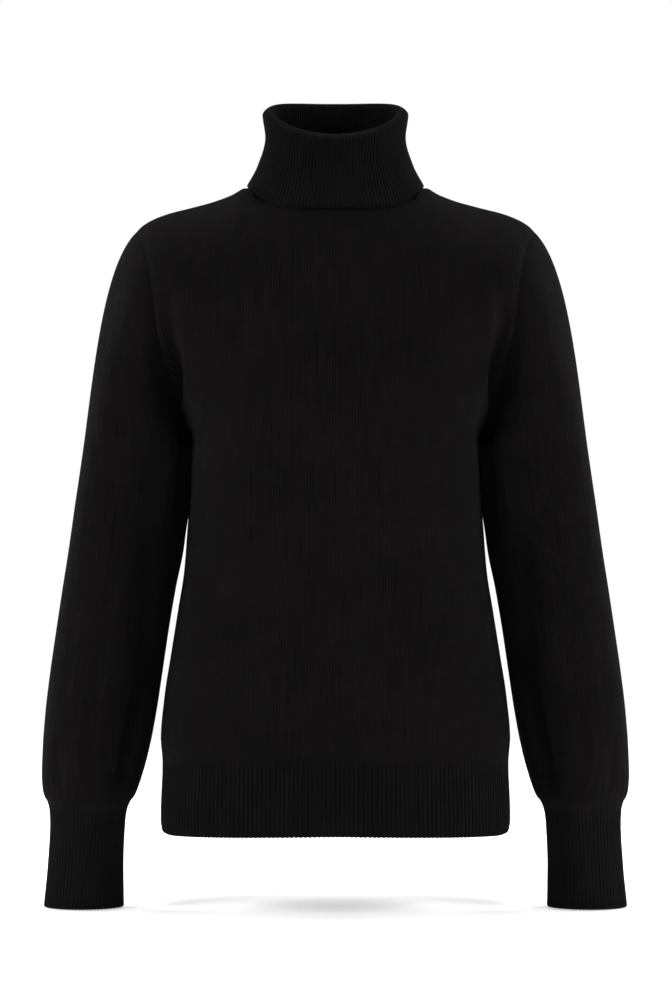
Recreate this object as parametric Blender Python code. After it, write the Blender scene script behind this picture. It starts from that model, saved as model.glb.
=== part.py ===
"""A turtleneck sweater, filled out as it is worn: each piece a knitter would make is its own thin wall.

The front faces -Y, the wearer's left is +X and up is +Z. The origin is midway between the neck points,
where the shoulder seams meet the collar. Lengths are in millimetres and angles in degrees; a mesh
is scaled to metres when it is made.

A panel, sleeve or rib is a grid of points for the face of the cloth that shows, and a second grid for
the face that doesn't. Along a row, `share` runs from 0 at the centre line to 1 at the panel's side.
"""

import bmesh
import bpy
import numpy as np

MM = 0.001
GARMENT = "turtleneck_sweater"

# Cloth
JERSEY_WALL = 2.0
RIB_WALL = 2.2
RIB_RELIEF = 0.8  # from the valley of a rib to its ridge
SEAM_GAP = 0.3

# Main levels, measured up from the neck points
HEM_BOTTOM = -608.0
HEM_TOP = -537.0
WAIST = -380.0
UNDERARM = -237.0
SHOULDER_POINT = -40.0
SLEEVE_LEVEL = -250.0  # below this the sleeve's rings lie level
SLEEVE_BOTTOM = -584.5
CUFF_BOTTOM = -684.5

# Rib counts: the pitch is about 4.2 mm on the hem, 3.5 mm on the cuffs and the collar
HEM_RIBS = 110  # on each of the two halves
CUFF_RIBS = 58
COLLAR_RIBS = 116

HEM_DROOP = 8.5  # how much lower the hem hangs at the side seams than at the centre
DROOP_POWER = 2.2

# Armhole: a loop that is narrow at the underarm, where the cloth folds in under the sleeve
ARMHOLE_MIDDLE = (UNDERARM + SHOULDER_POINT) / 2
ARMHOLE_HALF = (SHOULDER_POINT - UNDERARM) / 2
ARMHOLE_LEAN = (0.27, 0.96)  # unit vector up the loop, as (out, up)
ARMHOLE_STEP = 15
YOKE_START = 105  # the panel's rows are level up to this angle on the armhole

# Neckline: an oval about a centre that lies a little behind the side seams
NECK_WIDTH = 76.5
NECK_DEPTH = {"front": 72.0, "back": 63.0}
NECK_HEIGHT = {"front": -11.0, "back": 12.0}
SEAM_Y = 3.0  # the shoulder seams and the neck's centre
NECK_SHARE = 0.45  # the part of a panel's top row that is neckline
NECK_BANDS = 5
SHOULDER_BANDS = 6
NECK_SEAM_TILT = 40  # how far the edge of the cloth tips down from level at the neck seam
NECK_RISE = 60  # the slope of the cloth as it reaches the neck seam at the centre

FACES = ("front", "back")
TOWARDS = {"front": -1, "back": 1}


class Table:
    """Rows of named columns, read as smooth curves along the first column, which increases."""

    def __init__(self, names, *rows):
        self.columns = dict(zip(names.split(), np.array(rows, float).T))
        self.along = next(iter(self.columns.values()))

    def read(self, name, at):
        knots, values = self.along, self.columns[name]
        step = np.diff(knots)
        rise = np.diff(values) / step
        before, after = rise[:-1], rise[1:]
        slope = np.empty_like(values)
        slope[0], slope[-1] = rise[0], rise[-1]
        same_way = before * after > 0
        weight_a = 2 * step[1:] + step[:-1]
        weight_b = step[1:] + 2 * step[:-1]
        safe_before = np.where(same_way, before, 1)
        safe_after = np.where(same_way, after, 1)
        harmonic = (weight_a + weight_b) / (weight_a / safe_before + weight_b / safe_after)
        slope[1:-1] = np.where(same_way, harmonic, 0)
        i = np.clip(np.searchsorted(knots, at) - 1, 0, len(step) - 1)
        t = (np.asarray(at, float) - knots[i]) / step[i]
        pull = slope[i] * step[i], slope[i + 1] * step[i]
        return hermite(values[i], values[i + 1], *pull, t)


# Half width of the garment at the side seam
SIDE = Table(
    "height half_width",
    (HEM_BOTTOM, 164.0),
    (-588, 166.9),
    (-572, 166.5),
    (-547, 165.4),
    (HEM_TOP, 165.8),
    (-518, 167.3),
    (-480, 163.8),
    (-442, 157.4),
    (-403, 150.7),
    (-365, 144.6),
    (-326, 141.6),
    (-274, 137.6),
    (UNDERARM, 133.0),
)

# Depth of the panels from the side seam's plane at the centre line
DEPTH = Table(
    "height front back squareness",
    (HEM_BOTTOM, 119.5, 117.0, 2.5),
    (-572, 118.8, 116.5, 2.5),
    (HEM_TOP, 119.5, 117.5, 2.5),
    (-500, 119.5, 116.0, 2.5),
    (-440, 117.2, 110.5, 2.55),
    (-384, 115.7, 106.5, 2.6),
    (-330, 116.0, 106.5, 2.6),
    (-274, 119.0, 110.0, 2.6),
    (-220, 120.5, 114.0, 2.55),
    (-170, 117.0, 115.0, 2.5),
    (-138, 112.0, 113.0, 2.5),
    (-110, 105.5, 109.0, 2.5),
)

# The half width that the middle of a panel follows: it widens towards the shoulders, while the side seam
# is drawn in at the underarm
CHEST = Table(
    "height half_width",
    (HEM_BOTTOM, 164.0),
    (-588, 166.9),
    (-572, 166.5),
    (-547, 165.4),
    (HEM_TOP, 165.8),
    (-518, 167.3),
    (-480, 163.8),
    (-442, 157.4),
    (-403, 150.7),
    (-365, 144.6),
    (-326, 141.6),
    (-280, 138.5),
    (-237, 138.0),
    (-206, 146.5),
    (-170, 153.5),
    (-138, 175.0),
    (-110, 196.0),
)

# How far out the armhole seam lies
ARMHOLE_OUT = Table(
    "height out",
    (UNDERARM, 133.0),
    (-230, 140.5),
    (-220, 146.0),
    (-205, 151.0),
    (-186, 156.0),
    (-160, 162.5),
    (-138, 167.5),
    (-89, 174.0),
    (-53, 183.0),
    (SHOULDER_POINT, 191.3),
)

# How far the armhole seam lies in front of the side seam, and behind it, by the angle from the underarm
ARMHOLE_DEPTH = Table(
    "angle front back",
    (0, 0, 0),
    (30, 13.5, 16),
    (60, 36, 42),
    (90, 62, 67),
    (105, 64.5, 71),
    (120, 60, 67),
    (150, 34, 43),
    (180, -SEAM_Y, SEAM_Y),
)

# The way the sleeve's cloth leaves the armhole: out, away from the sleeve's middle and up, and how far it
# holds to that way
CAP_START = Table(
    "angle out away up fullness",
    (0, 0.62, 0.0, -0.77, 0.8),
    (30, 0.45, 0.45, -0.77, 0.8),
    (60, 0.35, 0.65, -0.68, 0.8),
    (90, 0.62, 0.25, -0.72, 0.8),
    (120, 0.68, 0.10, -0.73, 0.72),
    (180, 0.72, 0.0, -0.69, 0.62),
)

# The shoulder seam, from the neck point to the shoulder point
SHOULDER = Table(
    "out height",
    (NECK_WIDTH, 0.0),
    (83, 2.2),
    (88, 1.9),
    (92, -0.2),
    (98, -3.8),
    (105, -6.8),
    (117.5, -11.2),
    (138.3, -16.8),
    (160.3, -22.4),
    (175.4, -28.2),
    (185.7, -34.4),
    (191.3, SHOULDER_POINT),
)

# Level sections of the left sleeve: its edge next to the body, its outer edge, its middle and half depth,
# and how square it is (2 is an oval)
SLEEVE = Table(
    "height inner outer middle half_depth squareness",
    (SLEEVE_BOTTOM, 194.6, 275.8, -15.0, 34.0, 2.0),
    (-574, 189.6, 279.2, -14.4, 41.0, 2.1),
    (-557, 183.6, 280.5, -13.2, 45.5, 2.2),
    (-538, 178.6, 279.9, -12.0, 48.0, 2.3),
    (-499, 171.2, 277.2, -9.0, 49.5, 2.4),
    (-461, 165.6, 272.8, -6.5, 50.0, 2.5),
    (-422, 160.0, 267.3, -4.0, 50.5, 2.6),
    (-384, 153.7, 261.6, -2.5, 51.5, 2.7),
    (-346, 146.5, 255.7, -1.0, 52.5, 2.8),
    (-326, 143.4, 252.8, -0.5, 53.0, 2.85),
    (-307, 141.0, 250.2, 0.0, 53.5, 2.85),
    (-274, 138.2, 245.4, 1.0, 54.0, 2.8),
    (SLEEVE_LEVEL, 135.6, 242.0, 1.0, 54.0, 2.7),
)
SLEEVE_LEVELS = (-290, -340, -390, -440, -485, -520, -545, -562, -574, SLEEVE_BOTTOM)
CAP_BANDS = 6
CAP_END = (0.139, 0.0, -0.99)  # the way it runs where the level rings start

# Folds of the sleeve, which end at its cuff seam, by the angle round it (0 is next to the body, 90 the
# front, 180 the outside) and how far up they reach: two long ones, a trough and a ridge, and then the
# short pleats where it is gathered into the cuff
PLEATS = Table(
    "angle half_width depth reach",
    (58, 20, 8.5, 330),
    (112, 16, -3.0, 330),
    (92, 12, 1.8, 50),
    (128, 13, 4.2, 95),
    (218, 16, 3.5, 70),
    (258, 18, 4.5, 100),
    (312, 19, 4.0, 75),
)

CUFF = Table(
    "height inner outer middle half_depth squareness",
    (CUFF_BOTTOM, 202.2, 278.2, -17.0, 30.0, 2.0),
    (-645, 202.6, 274.4, -16.5, 29.0, 2.0),
    (-605, 200.8, 272.4, -15.5, 29.5, 2.0),
    (SLEEVE_BOTTOM - SEAM_GAP, 196.2, 274.8, -15.0, 32.5, 2.0),
)
CUFF_LEVELS = (SLEEVE_BOTTOM - SEAM_GAP, -610, CUFF_BOTTOM)

# The collar's showing face, by the distance along the cloth from the neck seam: up the inside of the
# neck, over the roll, and down the outside to the free edge. The drop is how much lower the cloth
# hangs between the front, the sides and the back
COLLAR = Table(
    "along width front back side_height front_height back_height drop",
    (0, 75.0, 70.5, 61.5, -1.0, -12.0, 11.0, 0.0),
    (24, 65.5, 63.0, 55.5, 21.0, 6.0, 32.0, 0.0),
    (66, 57.4, 53.8, 49.0, 62.0, 34.0, 75.0, 0.0),
    (75, 58.2, 53.6, 49.6, 71.5, 41.5, 84.4, 0.0),
    (83, 63.4, 57.8, 54.0, 78.2, 47.6, 90.6, 0.0),
    (92, 69.8, 64.0, 60.2, 73.0, 42.0, 85.5, 0.0),
    (113, 67.2, 62.5, 58.5, 51.8, 21.5, 64.0, 0.0),
    (145, 74.6, 71.0, 63.5, 24.0, -2.5, 28.0, 1.8),
    (170, 86.4, 84.5, 73.0, 4.0, -23.5, 1.5, 3.3),
)
COLLAR_HIDDEN_COLUMNS = 40
COLLAR_NECK_KNOTS = 4 * NECK_BANDS


# The panels' rows below the armhole, by their height at the centre line and at the side seam
BODY_ROWS = Table(
    "centre side",
    (HEM_TOP, HEM_TOP),
    (-518, -518),
    (-490, -490),
    (-455, -455),
    (-420, -420),
    (-385, -385),
    (-350, -350),
    (-315, -315),
    (-283, -283),
    (-257, -255),
    (-240, UNDERARM - 1.5),
    (-228, UNDERARM),
)
EDGE_INSET = 0.008  # the share that the last column but one keeps from the armhole
HEM_LEVELS = (HEM_BOTTOM, -588, HEM_TOP - SEAM_GAP)
YOKE_ROWS = (180 - YOKE_START) // ARMHOLE_STEP
YOKE_FULLNESS = 1.12
EDGE_HOLD = 8  # how late a panel's row or column takes up the curve of its edge
ROW_BEND = 4  # how late a row bends towards its height at the side
SIDE_CROWDING = 1.3
HEM_INNER_BANDS = 22
CUFF_INNER_COLUMNS = 20

KNIT_ROUGHNESS = 0.9
SHARP_ANGLE = np.radians(38)


# ---------------------------------------------------------------- curves


def hermite(start, end, start_pull, end_pull, t):
    """The cubic from start to end with the given end tangents."""
    return (
        (2 * t**3 - 3 * t**2 + 1) * start
        + (3 * t**2 - 2 * t**3) * end
        + (t**3 - 2 * t**2 + t) * start_pull
        + (t**3 - t**2) * end_pull
    )


def unit(vector):
    vector = np.asarray(vector, float)
    return vector / np.linalg.norm(vector, axis=-1, keepdims=True)


def along(points, shares):
    """The points at these shares of a polyline's length."""
    steps = np.linalg.norm(np.diff(points, axis=0), axis=1)
    length = np.concatenate([[0], np.cumsum(steps)])
    wanted = np.asarray(shares) * length[-1]
    return np.stack([np.interp(wanted, length, column) for column in points.T], axis=-1)


def armhole(face, angle):
    """A point of the left armhole's seam: 0 is the underarm and 180 the shoulder point."""
    turn = np.radians(angle)
    height = ARMHOLE_MIDDLE - ARMHOLE_HALF * np.cos(turn)
    return np.array([ARMHOLE_OUT.read("out", height), TOWARDS[face] * ARMHOLE_DEPTH.read(face, angle), height])


def armhole_inward(face, angle):
    """The way from the cloth's outer face to its inner one at the armhole seam."""
    turn = np.radians(angle)
    out, up = np.array(ARMHOLE_LEAN) * np.cos(turn)
    return np.array([out, -TOWARDS[face] * np.sin(turn), up])


def neck_oval(angle, width, front, back):
    """x and y of an oval round the neck: 0 is the front centre and 90 the left side."""
    turn = np.radians(angle)
    depth = np.where(np.cos(turn) > 0, front, back)
    return width * np.sin(turn), SEAM_Y - depth * np.cos(turn)


def tilted(angle, side, front, back, drop=0):
    """A height that has these values at the sides, the front and the back, and drops between them."""
    lean = np.cos(np.radians(angle))
    level = side + (front - back) / 2 * lean + ((front + back) / 2 - side) * lean**2
    return level - drop * np.sin(np.radians(2 * angle)) ** 2


def neck_seam(angle):
    x, y = neck_oval(angle, NECK_WIDTH, NECK_DEPTH["front"], NECK_DEPTH["back"])
    z = tilted(angle, 0, NECK_HEIGHT["front"], NECK_HEIGHT["back"])
    return np.stack([x, y, z], axis=-1)


def neck_seam_ways(angle):
    """Two unit vectors at the neck seam: through the cloth to its inner face, and across the seam."""
    turn = np.radians(angle)
    tip = np.radians(NECK_SEAM_TILT)
    inward = np.stack([-np.sin(turn), np.cos(turn), 0 * turn], axis=-1)
    up = np.array([0, 0, 1.0])
    return np.cos(tip) * inward - np.sin(tip) * up, np.sin(tip) * inward + np.cos(tip) * up


# ---------------------------------------------------------------- body panels


def droop(height, shares):
    """How much lower the cloth hangs towards the side seams, from the waist to the hem."""
    below = np.clip((WAIST - height) / (WAIST - HEM_TOP), 0, 1)
    return HEM_DROOP * shares**DROOP_POWER * below**2 * (3 - 2 * below)


def body_row(face, height, shares):
    """Points of the panel's level section at a height, from the centre line to its side seam or armhole."""
    if height <= UNDERARM:
        edge = np.array([SIDE.read("half_width", height), 0, height])
    else:
        edge = armhole(face, np.degrees(np.arccos((ARMHOLE_MIDDLE - height) / ARMHOLE_HALF)))
    depth = DEPTH.read(face, height)
    power = 2 / DEPTH.read("squareness", height)
    turn = np.linspace(np.pi / 2, np.arcsin((abs(edge[1]) / depth) ** (1 / power)), 160)
    x = CHEST.read("half_width", height) * np.abs(np.cos(turn)) ** power
    y = TOWARDS[face] * depth * np.sin(turn) ** power
    points = along(np.stack([x, y, np.full_like(x, height)], axis=-1), [*shares, 1])
    points = points[:-1] + np.array(shares)[:, None] ** EDGE_HOLD * (edge - points[-1])
    points[:, 2] -= droop(height, np.array(shares))
    return points


def body_point(face, height, share):
    return body_row(face, height, [share])[0]


def top_point(face, share):
    """A point of the panel's top edge: the neckline, then the shoulder seam."""
    if share <= NECK_SHARE:
        angle = 90 * share / NECK_SHARE
        return neck_seam(angle if face == "front" else 180 - angle)
    out = np.interp(share, (NECK_SHARE, 1), (NECK_WIDTH, SHOULDER.along[-1]))
    return np.array([out, SEAM_Y, SHOULDER.read("height", out)])


def top_way(face, share):
    """The way the cloth runs as it reaches the top edge: steep at the neck, level at the shoulder."""
    back = -TOWARDS[face]
    rise = np.radians(NECK_RISE)
    steep = np.array([0, back * np.cos(rise), np.sin(rise)])
    level = np.array([0, back, 0])
    blend = min(share / NECK_SHARE, 1) ** 2
    return unit((1 - blend) * steep + blend * level)


def yoke_column(face, share, rises):
    """Points up the yoke, from its lowest level row to the shoulder seam or the neckline."""

    def free(share):
        base = armhole(face, YOKE_START)[2]
        start = body_point(face, base, share)
        below = body_point(face, base - 1, share)
        end = top_point(face, share)
        pull = YOKE_FULLNESS * np.linalg.norm(end - start)
        ways = pull * unit(start - below), pull * top_way(face, share)
        return np.array([hermite(start, end, *ways, rise) for rise in rises])

    seam = [armhole(face, YOKE_START + (180 - YOKE_START) * rise) for rise in rises]
    return free(share) + share**EDGE_HOLD * (seam - free(1))


def panel_shares():
    """Where the columns lie between the centre line and the side, closer together near the armhole."""
    neck = np.linspace(0, NECK_SHARE, NECK_BANDS + 1)
    beyond = 1 - (1 - np.linspace(0, 1, SHOULDER_BANDS + 1)) ** SIDE_CROWDING
    beyond = NECK_SHARE + (1 - NECK_SHARE) * beyond[1:]
    return np.concatenate([neck, beyond[:-1], [1 - EDGE_INSET, 1]])


def half_panel(face, shares):
    """The panel's outer points on the left side, as rows from the hem rib up."""
    levels = list(zip(*BODY_ROWS.columns.values()))
    base = armhole(face, YOKE_START)[2]
    last = levels[-1][0]
    angles = range(ARMHOLE_STEP, YOKE_START + 1, ARMHOLE_STEP)
    for i, angle in enumerate(angles, 1):
        levels.append((last + (base - last) * i / len(angles), armhole(face, angle)[2]))
    rows = []
    for centre, side in levels:
        heights = centre + (side - centre) * shares**ROW_BEND
        rows.append([body_point(face, *place) for place in zip(heights, shares)])
    rises = np.arange(1, YOKE_ROWS + 1) / YOKE_ROWS
    rows.extend(zip(*[yoke_column(face, share, rises) for share in shares]))
    return np.array(rows)


def half_panel_inner(face, outer, shares):
    """The inner face of the cloth, with its edges square to the seams."""
    whole = both_halves(outer)
    through = grid_normals(whole, TOWARDS[face])[:, len(shares) - 1 :]
    through[0] = unit(through[0] * (1, 1, 0))
    underarm = len(BODY_ROWS.along) - 1
    through[:underarm, -1] = (-1, 0, 0)
    for row in range(underarm, len(outer)):
        through[row, -1] = armhole_inward(face, ARMHOLE_STEP * (row - underarm))
    through[-1, NECK_BANDS + 1 : -1] = (0, 0, -1)
    for column in range(NECK_BANDS + 1):
        angle = 90 * column / NECK_BANDS
        through[-1, column] = neck_seam_ways(angle if face == "front" else 180 - angle)[0]
    return outer + JERSEY_WALL * through


def panel(face):
    shares = panel_shares()
    outer = half_panel(face, shares)
    inner = half_panel_inner(face, outer, shares)
    apart = (0, TOWARDS[face] * SEAM_GAP / 2, 0)
    add_wall(face, both_halves(outer) + apart, both_halves(inner) + apart, JERSEY)


def hem_rib(face):
    """Half of the waistband: ribs raised in the outer face, over a plain inner face."""
    apart = (0, TOWARDS[face] * SEAM_GAP / 2, 0)

    def rows(bands):
        shares = np.linspace(0, 1, bands // 2 + 1)
        whole = both_halves(np.array([body_row(face, height, shares) for height in HEM_LEVELS]))
        out = grid_normals(whole, -TOWARDS[face])
        out[:, 0], out[:, -1] = (-1, 0, 0), (1, 0, 0)
        return whole + apart, unit(out * (1, 1, 0))

    showing, out = rows(2 * HEM_RIBS)
    plain, plain_out = rows(HEM_INNER_BANDS)
    add_wall(f"{face}_hem_rib", ribbed(showing, out), plain - RIB_WALL * plain_out, RIB)


# ---------------------------------------------------------------- sleeves and cuffs


def ring(table, height, angles):
    """A level section of a sleeve or cuff: 0 is next to the body, 90 the front and 180 the outside."""
    inner, outer, middle, half_depth, squareness = (table.read(name, height) for name in [*table.columns][1:])
    turn = np.radians(angles)
    aside, ahead = (np.sign(way) * np.abs(way) ** (2 / squareness) for way in (np.cos(turn), np.sin(turn)))
    x = (inner + outer) / 2 - (outer - inner) / 2 * aside
    y = middle - half_depth * ahead
    return np.stack([x, y, np.full_like(x, height)], axis=-1)


def pleated(points, height, angles):
    """The ring drawn in at each pleat, which deepens towards the cuff and ends short of its seam."""
    middle = points.mean(axis=0)
    drawn = np.zeros(len(angles))
    for angle, half_width, depth, reach in zip(*PLEATS.columns.values()):
        up = (height - SLEEVE_BOTTOM) / reach
        away = (angles - angle + 180) % 360 - 180
        if up < 1:
            drawn += depth * np.sin(np.pi * np.sqrt(up)) * np.exp(-((away / half_width) ** 2))
    return points - drawn[:, None] * unit((points - middle) * (1, 1, 0))


def armhole_ring(angles):
    """Where the sleeve starts, one seam's gap out from the armhole, and the way to its inner face."""
    places = [("front", angle) if angle <= 180 else ("back", 360 - angle) for angle in angles]
    out, up = ARMHOLE_LEAN
    start = np.array([armhole(*place) for place in places]) + SEAM_GAP * np.array([up, 0, -out])
    return start, np.array([armhole_inward(*place) for place in places])


def sleeve_leaving(angle):
    """The way that the sleeve's cloth leaves the armhole seam, as long as its fullness there."""
    towards, turn = (-1, angle) if angle <= 180 else (1, 360 - angle)
    out, away, up, fullness = (CAP_START.read(name, turn) for name in ("out", "away", "up", "fullness"))
    return fullness * unit([out, towards * away, up])


def sleeve_rings(angles):
    start, inward = armhole_ring(angles)
    end = ring(SLEEVE, SLEEVE_LEVEL, angles)
    length = np.linalg.norm(end - start, axis=1, keepdims=True)
    leaving = np.array([sleeve_leaving(angle) for angle in angles])
    pulls = length * leaving, length * unit(CAP_END)
    rings = [hermite(start, end, *pulls, t) for t in np.arange(CAP_BANDS + 1) / CAP_BANDS]
    rings += [pleated(ring(SLEEVE, height, angles), height, angles) for height in SLEEVE_LEVELS]
    return np.array(rings), inward


def sleeve(name, side):
    angles = np.arange(0, 360, ARMHOLE_STEP)
    outer, inward = sleeve_rings(angles)
    through = -tube_normals(outer)
    through[0] = inward
    through[-1] = unit(through[-1] * (1, 1, 0))
    add_tube(name, outer * (side, 1, 1), (outer + JERSEY_WALL * through) * (side, 1, 1), JERSEY)


def cuff(name, side):
    def rings(columns):
        angles = np.arange(columns) * 360 / columns
        rows = np.array([ring(CUFF, height, angles) for height in CUFF_LEVELS])
        return rows, unit(tube_normals(rows) * (1, 1, 0))

    showing, out = rings(2 * CUFF_RIBS)
    plain, plain_out = rings(CUFF_INNER_COLUMNS)
    inner = plain - RIB_WALL * plain_out
    add_tube(name, ribbed(showing, out) * (side, 1, 1), inner * (side, 1, 1), RIB)


# ---------------------------------------------------------------- collar


def collar_rings(columns):
    """The collar's showing face as rings of points, and the way out of that face."""
    angles = np.arange(columns) * 360 / columns
    rings = []
    for _, width, front, back, *heights in zip(*COLLAR.columns.values()):
        x, y = neck_oval(angles, width, front, back)
        rings.append(np.stack([x, y, tilted(angles, *heights)], axis=-1))
    rings = np.array(rings)
    return rings, tube_normals(rings), angles


def neck_edge(angles):
    """The stand's edge on its hidden face and its showing face, straight between the panels' columns."""
    knots = np.arange(COLLAR_NECK_KNOTS + 1) * 360 / COLLAR_NECK_KNOTS
    through, across = neck_seam_ways(knots)
    hidden = neck_seam(knots) + SEAM_GAP * across

    def between(points):
        return np.stack([np.interp(angles, knots, column) for column in points.T], axis=-1)

    return between(hidden), between(hidden + JERSEY_WALL * through)


def collar():
    points, out, angles = collar_rings(2 * COLLAR_RIBS)
    showing = ribbed(points, out)
    showing[0] = neck_edge(angles)[1]
    plain, plain_out, plain_angles = collar_rings(COLLAR_HIDDEN_COLUMNS)
    hidden = plain - RIB_WALL * plain_out
    hidden[0] = neck_edge(plain_angles)[0]
    add_tube("collar", showing, hidden, RIB)


# ---------------------------------------------------------------- grids and meshes


def both_halves(left):
    """A row of points for each side of the centre line, from the points of the left side."""
    return np.concatenate([left[:, :0:-1] * (-1, 1, 1), left], axis=1)


def grid_normals(points, way=1):
    """Unit normals of a grid of points; `way` chooses the side that they point to."""
    across = np.gradient(points, axis=1)
    up = np.gradient(points, axis=0)
    return way * unit(np.cross(across, up))


def tube_normals(rings):
    """Unit normals of closed rings, out of the showing face."""
    across = (np.roll(rings, -1, axis=1) - np.roll(rings, 1, axis=1)) / 2
    return unit(np.cross(np.gradient(rings, axis=0), across))


def ribbed(points, out):
    """Every second column raised and the others sunk by half the relief."""
    lift = np.where(np.arange(points.shape[1]) % 2, 0.5, -0.5) * RIB_RELIEF
    return points + lift[None, :, None] * out


def strip(first, second):
    """Faces between two lines of vertices: quads where they match, else triangles."""
    if len(first) == len(second):
        return list(zip(first[:-1], first[1:], second[1:], second[:-1]))
    faces = []
    i = j = 0
    while i < len(first) - 1 or j < len(second) - 1:
        if (i + 1) / (len(first) - 1) <= (j + 1) / (len(second) - 1):
            faces.append((first[i], first[i + 1], second[j]))
            i += 1
        else:
            faces.append((first[i], second[j + 1], second[j]))
            j += 1
    return faces


def wall_faces(showing, hidden):
    """The faces of a closed wall between two grids of vertex numbers."""
    faces = []
    for grid in (showing, hidden):
        for low, high in zip(grid[:-1], grid[1:]):
            faces += strip(low, high)
    return faces + strip(showing[0], hidden[0]) + strip(showing[-1], hidden[-1])


def add_wall(name, showing, hidden, material):
    """A wall open at its sides, such as a panel."""
    first, second = numbered(showing, hidden)
    sides = [strip(first[:, edge], second[:, edge]) for edge in (0, -1)]
    add_object(name, showing, hidden, wall_faces(first, second) + sides[0] + sides[1], material)


def add_tube(name, showing, hidden, material):
    """A wall that closes round on itself, such as a sleeve."""
    first, second = (np.hstack([grid, grid[:, :1]]) for grid in numbered(showing, hidden))
    add_object(name, showing, hidden, wall_faces(first, second), material)


def numbered(showing, hidden):
    """A grid of vertex numbers for each grid of points."""
    first = np.arange(showing[..., 0].size).reshape(showing.shape[:2])
    return first, first.size + np.arange(hidden[..., 0].size).reshape(hidden.shape[:2])


def add_object(name, showing, hidden, faces, material):
    points = np.concatenate([showing.reshape(-1, 3), hidden.reshape(-1, 3)]) * MM
    mesh = bpy.data.meshes.new(name)
    mesh.from_pydata(points.tolist(), [], [[int(corner) for corner in face] for face in faces])
    solid = bmesh.new()
    solid.from_mesh(mesh)
    bmesh.ops.recalc_face_normals(solid, faces=solid.faces)
    solid.to_mesh(mesh)
    solid.free()
    mesh.materials.append(material)
    mesh.shade_smooth()
    mesh.set_sharp_from_angle(angle=SHARP_ANGLE)
    bpy.data.collections[GARMENT].objects.link(bpy.data.objects.new(name, mesh))


def knit_material(name, colour):
    material = bpy.data.materials.new(name)
    material.use_nodes = True
    shader = material.node_tree.nodes["Principled BSDF"]
    shader.inputs["Base Color"].default_value = (*colour, 1)
    shader.inputs["Roughness"].default_value = KNIT_ROUGHNESS
    shader.inputs["Metallic"].default_value = 0
    return material


for thing in list(bpy.data.objects):
    bpy.data.objects.remove(thing)
bpy.context.scene.collection.children.link(bpy.data.collections.new(GARMENT))
JERSEY = knit_material("black_jersey", (0.0085, 0.0078, 0.0082))
RIB = knit_material("black_rib", (0.0072, 0.0065, 0.0070))

for body_face in FACES:
    panel(body_face)
    hem_rib(body_face)
for suffix, side_sign in (("left", 1), ("right", -1)):
    sleeve(f"sleeve_{suffix}", side_sign)
    cuff(f"cuff_{suffix}", side_sign)
collar()
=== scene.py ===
"""The look of a black turtleneck sweater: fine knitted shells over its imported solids.

Each shell repeats its solid's sections at a finer step, and adds what the solid leaves out: rounded ribs,
sunk seams, soft creases, rolled edges and the knit itself. The front faces -Y, +X is the wearer's left.
Lengths are in millimetres and angles in degrees; a mesh is scaled to metres when it is made.

Along a row, `share` runs from 0 at the centre line to 1 at the panel's side. Each point also has a place
in the cloth, (across, along) in metres, which the knit's materials follow.
"""

import bmesh
import bpy
import numpy as np
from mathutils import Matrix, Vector


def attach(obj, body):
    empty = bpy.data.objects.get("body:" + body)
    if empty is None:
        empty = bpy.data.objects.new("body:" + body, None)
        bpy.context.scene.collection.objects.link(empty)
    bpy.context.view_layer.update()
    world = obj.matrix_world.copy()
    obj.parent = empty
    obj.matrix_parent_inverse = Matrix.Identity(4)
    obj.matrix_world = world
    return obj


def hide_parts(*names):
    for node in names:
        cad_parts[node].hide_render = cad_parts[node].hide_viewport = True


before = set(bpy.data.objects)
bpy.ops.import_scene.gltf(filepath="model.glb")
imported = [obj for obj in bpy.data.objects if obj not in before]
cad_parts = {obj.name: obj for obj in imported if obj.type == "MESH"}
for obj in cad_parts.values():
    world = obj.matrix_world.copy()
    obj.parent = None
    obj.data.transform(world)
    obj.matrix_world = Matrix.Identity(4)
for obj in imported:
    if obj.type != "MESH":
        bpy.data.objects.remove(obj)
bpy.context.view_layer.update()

MM = 0.001

# Cloth
JERSEY_WALL = 1.8
RIB_WALL = 2.0
HEM_RELIEF = 0.8  # from the valley of a rib to its ridge
CUFF_RELIEF = 0.6
COLLAR_RELIEF = 0.7
WALE = 2.6  # the width of a column of plain stitches
COURSE = 1.75  # the height of a row of stitches
SEAM_SINK = 0.09  # how far a seam draws the cloth in
SEAM_HALF_WIDTH = 2.2

# Main levels, measured up from the neck points
HEM_BOTTOM = -608.0
HEM_TOP = -537.0
WAIST = -380.0
UNDERARM = -237.0
SHOULDER_POINT = -40.0
SLEEVE_LEVEL = -250.0  # below this the sleeve's rings lie level
SLEEVE_BOTTOM = -584.5
CUFF_BOTTOM = -684.5

HEM_RIBS = 110  # on each of the two halves
CUFF_RIBS = 64
COLLAR_RIBS = 136
RIB_STEPS = 6  # columns to a rib
RIB_START = 10  # how far the ribs take to rise
RIB_ROUNDNESS = 0.7  # below 1, the valleys are narrower than the ridges

HEM_DROOP = 8.5  # how much lower the hem hangs at the side seams than at the centre
DROOP_POWER = 2.2
HEM_SAG = 0.9  # how much lower its free edge hangs halfway to the side seams
HEM_CORNER = 2.6  # how much that edge rises at them
CORNER_START, CORNER_END = 0.72, 0.95  # the shares between which it rises

# Armhole: a loop that is narrow at the underarm, where the cloth folds in under the sleeve
ARMHOLE_MIDDLE = (UNDERARM + SHOULDER_POINT) / 2
ARMHOLE_HALF = (SHOULDER_POINT - UNDERARM) / 2
YOKE_START = 105  # the panel's rows are level up to this angle on the armhole

# Neckline: an oval about a centre that lies a little behind the side seams
NECK_WIDTH = 76.5
NECK_DEPTH = {"front": 72.0, "back": 63.0}
NECK_HEIGHT = {"front": -11.0, "back": 12.0}
SEAM_Y = 3.0  # the shoulder seams and the neck's centre
NECK_SHARE = 0.45  # the part of a panel's top row that is neckline
NECK_RISE = 60  # the slope of the cloth as it reaches the neck seam at the centre

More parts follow.
